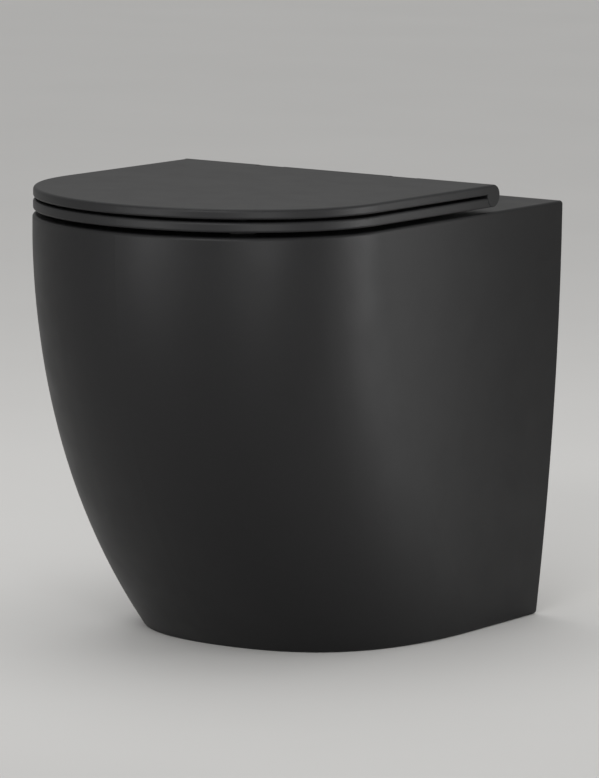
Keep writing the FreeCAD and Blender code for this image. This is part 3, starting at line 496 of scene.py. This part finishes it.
def rolledScrews():
    low, high = nodeBox("clamp_screws")
    headRadii, headPlace = cutFlats(clampSet["headLimits"])
    shankTop = high[1] - clampSet["headHeight"]
    rows = int((shankTop - low[1]) / clampSet["pitch"] * clampSet["rowsPerPitch"])
    along = np.linspace(shankTop, low[1], rows)
    radii = threadRadii(along, clampSet, -1)
    tip = clampSet["thread"] - clampSet["tipChamfer"] + (along - low[1])
    shells = []
    for x in (high[0] - clampSet["corner"], low[0] + clampSet["corner"]):
        middle = (x, 0, (low[2] + high[2]) / 2)
        head = lathe(headRadii, high[1] - headPlace, middle, "y")
        shank = lathe(np.minimum(radii, tip[:, None]), along, middle, "y")
        shells.append((np.concatenate([head, shank]), False))
    buildPiece("rolledScrews", shells, "zinc_plated_steel", "pan", ["clamp_screws"])


def pressedNuts():
    low, high = nodeBox("clamp_nuts")
    outerRadii, outerPlace = cutFlats(clampSet["nutLimits"])
    borePlace, boreRadius = np.array(clampSet["nutBore"]).T
    radii = np.concatenate([outerRadii, np.repeat(boreRadius[:, None], clampSet["columns"], 1)])
    along = high[1] - np.concatenate([outerPlace, borePlace])
    shells = []
    for x in (high[0] - clampSet["corner"], low[0] + clampSet["corner"]):
        shells.append((lathe(radii, along, (x, 0, (low[2] + high[2]) / 2), "y"), True))
    buildPiece("pressedNuts", shells, "zinc_plated_steel", "pan", ["clamp_nuts"])


rolledScrews()
pressedNuts()
print("clamp screws and nuts built")

# Flush inlet seal: a rounded lip, a plain sleeve and a bore with rounded sealing ribs.
# The outside is radius and depth from the lip's face; ribs are bell curves on the bore.
inletSeal = {"outside": ((23.4, 0.0), (30.4, 0.0), (31.5, 0.4), (32.0, 1.4), (32.0, 2.6), (31.5, 3.6),
                         (30.4, 4.0), (28.9, 4.0), (28.9, 48.0), (28.0, 49.0), (24.2, 49.0)),
             "bore": 23.5, "boreFrom": 48.2, "boreTo": 0.5, "ribs": (7, 15, 23), "ribHeight": 1.4,
             "ribWidth": 1.5, "rows": 110, "columns": 96}


def ribbedSeal():
    low, high = nodeBox("flush_inlet_seal")
    outerRadii, outerPlace = plainRings(inletSeal["outside"], inletSeal["columns"])
    depth = np.linspace(inletSeal["boreFrom"], inletSeal["boreTo"], inletSeal["rows"])
    ribs = np.exp(-((depth[:, None] - np.array(inletSeal["ribs"])) / inletSeal["ribWidth"]) ** 2).sum(1)
    boreRadius = inletSeal["bore"] - inletSeal["ribHeight"] * ribs
    radii = np.concatenate([outerRadii, np.repeat(boreRadius[:, None], inletSeal["columns"], 1)])
    along = high[1] - np.concatenate([outerPlace, depth])
    rings = lathe(radii, along, ((low[0] + high[0]) / 2, 0, (low[2] + high[2]) / 2), "y")
    buildPiece("ribbedSeal", [(rings, True)], "black_rubber", "pan", ["flush_inlet_seal"])


ribbedSeal()

# Buffers: oblong pads under the seat and round ones under the lid, their working edges rounded off.
# Edges are height above the face they rest on, and inset.
seatPads = {"sideY": -5.0, "front": (96.5, -179.5), "frontTurn": 45, "endRadius": 6.0, "halfRun": 7.0,
            "columns": 64, "edges": ((0.0, 2.0), (0.08, 1.2), (0.4, 0.45), (1.0, 0.0), (4.5, 0.0))}
lidPads = {"sideY": -5.0, "front": (102.0, -189.0), "radius": 5.0, "columns": 48,
           "edges": ((0.0, 2.2), (0.07, 1.3), (0.3, 0.5), (0.8, 0.0), (2.5, 0.0))}


def oblongPads():
    # outline: a circle whose two halves are pulled apart along Y, turned to its place, drawn in by the edge's
    # inset
    low, high = nodeBox("seat_buffers")
    turn = np.linspace(0, 2 * np.pi, seatPads["columns"], endpoint=False) + np.pi / seatPads["columns"]
    rise, inset = np.array(seatPads["edges"]).T
    radius = (seatPads["endRadius"] - inset)[:, None]
    across = radius * np.cos(turn)
    run = radius * np.sin(turn) + seatPads["halfRun"] * np.sign(np.sin(turn))
    z = np.broadcast_to(low[2] + rise[:, None], across.shape)
    sideX = high[0] - seatPads["endRadius"]
    frontX, frontY = seatPads["front"]
    shells = []
    for side in (1, -1):
        places = ((side * sideX, seatPads["sideY"], 0),
                  (side * frontX, frontY, -side * seatPads["frontTurn"]))
        for x, y, angle in places:
            c, s = math.cos(math.radians(angle)), math.sin(math.radians(angle))
            shells.append((np.stack([x + c * across - s * run, y + s * across + c * run, z], -1), False))
    buildPiece("oblongPads", shells, "black_rubber", "seat", ["seat_buffers"])


def roundPads():
    low, high = nodeBox("lid_buffers")
    rise, inset = np.array(lidPads["edges"]).T
    radii = np.repeat((lidPads["radius"] - inset)[:, None], lidPads["columns"], 1)
    sideX = high[0] - lidPads["radius"]
    frontX, frontY = lidPads["front"]
    places = [(sideX, lidPads["sideY"]), (-sideX, lidPads["sideY"]), (frontX, frontY), (-frontX, frontY)]
    shells = [(lathe(radii, low[2] + rise, (x, y, 0), "z"), False) for x, y in places]
    buildPiece("roundPads", shells, "black_rubber", "lid", ["lid_buffers"])


oblongPads()
roundPads()
print("seal and buffers built")

# Floor: one wide pale disc of matt paint that runs out past the picture, so there is no edge and no wall to
# stand in a back view. Sizes in metres, cloud in mm.
studioFloor = {"radius": 40.0, "middle": 0.02, "rings": 60, "turns": 96, "colour": "#c8c7c5",
               "cloudColour": "#cdccca", "cloud": 400, "roughness": 0.8, "specular": 0.2}


def paleFloor():
    # a flat disc: rings by turns, the ring radius growing as a square so the middle is finer
    ring = np.linspace(studioFloor["middle"], 1, studioFloor["rings"]) ** 2 * studioFloor["radius"]
    turns = studioFloor["turns"]
    turn = np.linspace(0, 2 * np.pi, turns, endpoint=False)
    x, y = np.outer(ring, np.cos(turn)), np.outer(ring, np.sin(turn))
    points = np.stack([x, y, np.zeros(x.shape)], 2)
    row, column = np.meshgrid(np.arange(len(ring) - 1), np.arange(turns), indexing="ij")
    nextColumn = (column + 1) % turns
    quads = np.stack([row * turns + column, (row + 1) * turns + column,
                      (row + 1) * turns + nextColumn, row * turns + nextColumn], 2).reshape(-1, 4)
    mesh = bpy.data.meshes.new("paleFloor")
    mesh.from_pydata(points.reshape(-1, 3).tolist(), [], quads.tolist() + [list(range(turns))])
    floor = bpy.data.objects.new("paleFloor", mesh)
    scene.collection.objects.link(floor)
    material, tree, shader, coords = startMaterial("paintedFloor")
    cloud = noiseValue(tree, coords["Object"], studioFloor["cloud"], 4.0)
    colour = mixColours(tree, cloud, toLinear(studioFloor["colour"]), toLinear(studioFloor["cloudColour"]))
    tree.links.new(colour, shader.inputs["Base Color"])
    shader.inputs["Roughness"].default_value = studioFloor["roughness"]
    shader.inputs["Specular IOR Level"].default_value = studioFloor["specular"]
    mesh.materials.append(material)


paleFloor()

# Lamps: tall strips that stand low round the piece, a box in front that catches the upper edges and a wide
# one overhead; each shines at its own aim point. A narrow spread is a box with a grid on it.
softBoxes = {
    "frontStrip": {"place": (-0.28, -1.55, 0.46), "aim": (-0.05, -0.2, 0.42), "size": (0.3, 0.36),
                   "power": 0.4, "spread": 46},
    "noseStrip": {"place": (1.2, -1.05, 0.46), "aim": (0.12, -0.16, 0.42), "size": (0.25, 0.36),
                  "power": 0.38, "spread": 46},
    "flankStrip": {"place": (0.765, 0.295, 0.42), "aim": (0.178, -0.13, 0.4), "size": (0.34, 0.8),
                   "power": 0.38, "spread": 36},
    "edgeBox": {"place": (0.5, -1.7, 1.5), "aim": (0, -0.15, 0.42), "size": (1.4, 0.4), "power": 1.9,
                "spread": 60},
    "topBox": {"place": (-0.3, 0.4, 2.4), "aim": (0, 0, 0.4), "size": (2.0, 2.0), "power": 16, "spread": 180},
}
for lampName, box in softBoxes.items():
    light = bpy.data.lights.new(lampName, "AREA")
    light.shape = "RECTANGLE"
    light.size, light.size_y = box["size"]
    light.energy = box["power"]
    light.spread = math.radians(box["spread"])
    lamp = bpy.data.objects.new(lampName, light)
    lamp.location = box["place"]
    lamp.rotation_euler = (Vector(box["place"]) - Vector(box["aim"])).to_track_quat("Z", "Y").to_euler()
    scene.collection.objects.link(lamp)

# World: one grey to the eye and in the shine, another as the fill for the rest
studioAir = {"seen": "#acacab", "fill": "#dcdcdc"}
world = bpy.data.worlds.new("studioAir")
scene.world = world
world.use_nodes = True
airTree = world.node_tree
airTree.nodes.clear()
rays = addNode(airTree, "LightPath").outputs
seenOrShine = mathValue(airTree, "MAXIMUM", rays["Is Camera Ray"], rays["Is Glossy Ray"])
seen = mathValue(airTree, "MAXIMUM", seenOrShine, rays["Is Transmission Ray"])
fillAir = addNode(airTree, "Background", None, {"Color": toLinear(studioAir["fill"])})
seenAir = addNode(airTree, "Background", None, {"Color": toLinear(studioAir["seen"])})
airMix = addNode(airTree, "MixShader", None,
                 {0: seen, 1: fillAir.outputs["Background"], 2: seenAir.outputs["Background"]})
addNode(airTree, "OutputWorld", None, {"Surface": airMix.outputs["Shader"]})

# Camera: the photograph's own angle, found by matching outline points of the pan to the picture.
# Angles in degrees, distance, aim, lens and sensor in mm, the far clip in metres.
cameraView = {"azimuth": 34.15, "elevation": 8.5, "roll": 0.71, "distance": 5118.7, "lens": 248.54,
              "sensor": 36, "aim": (33.95, 8.03, 239.01), "farClip": 200}


def placeCamera():
    azimuth, elevation = math.radians(cameraView["azimuth"]), math.radians(cameraView["elevation"])
    back = Vector((math.sin(azimuth) * math.cos(elevation), -math.cos(azimuth) * math.cos(elevation),
                   math.sin(elevation)))
    right = Vector((math.cos(azimuth), math.sin(azimuth), 0))
    up = back.cross(right)
    lens = bpy.data.cameras.new("photoCamera")
    lens.lens = cameraView["lens"]
    lens.sensor_width = cameraView["sensor"]
    lens.clip_end = cameraView["farClip"]
    camera = bpy.data.objects.new("photoCamera", lens)
    roll = Matrix.Rotation(math.radians(cameraView["roll"]), 3, "Z")
    camera.matrix_world = (Matrix((right, up, back)).transposed() @ roll).to_4x4()
    camera.location = (Vector(cameraView["aim"]) + back * cameraView["distance"]) * mm
    scene.collection.objects.link(camera)
    scene.camera = camera


placeCamera()
print("floor, lamps and camera in place")
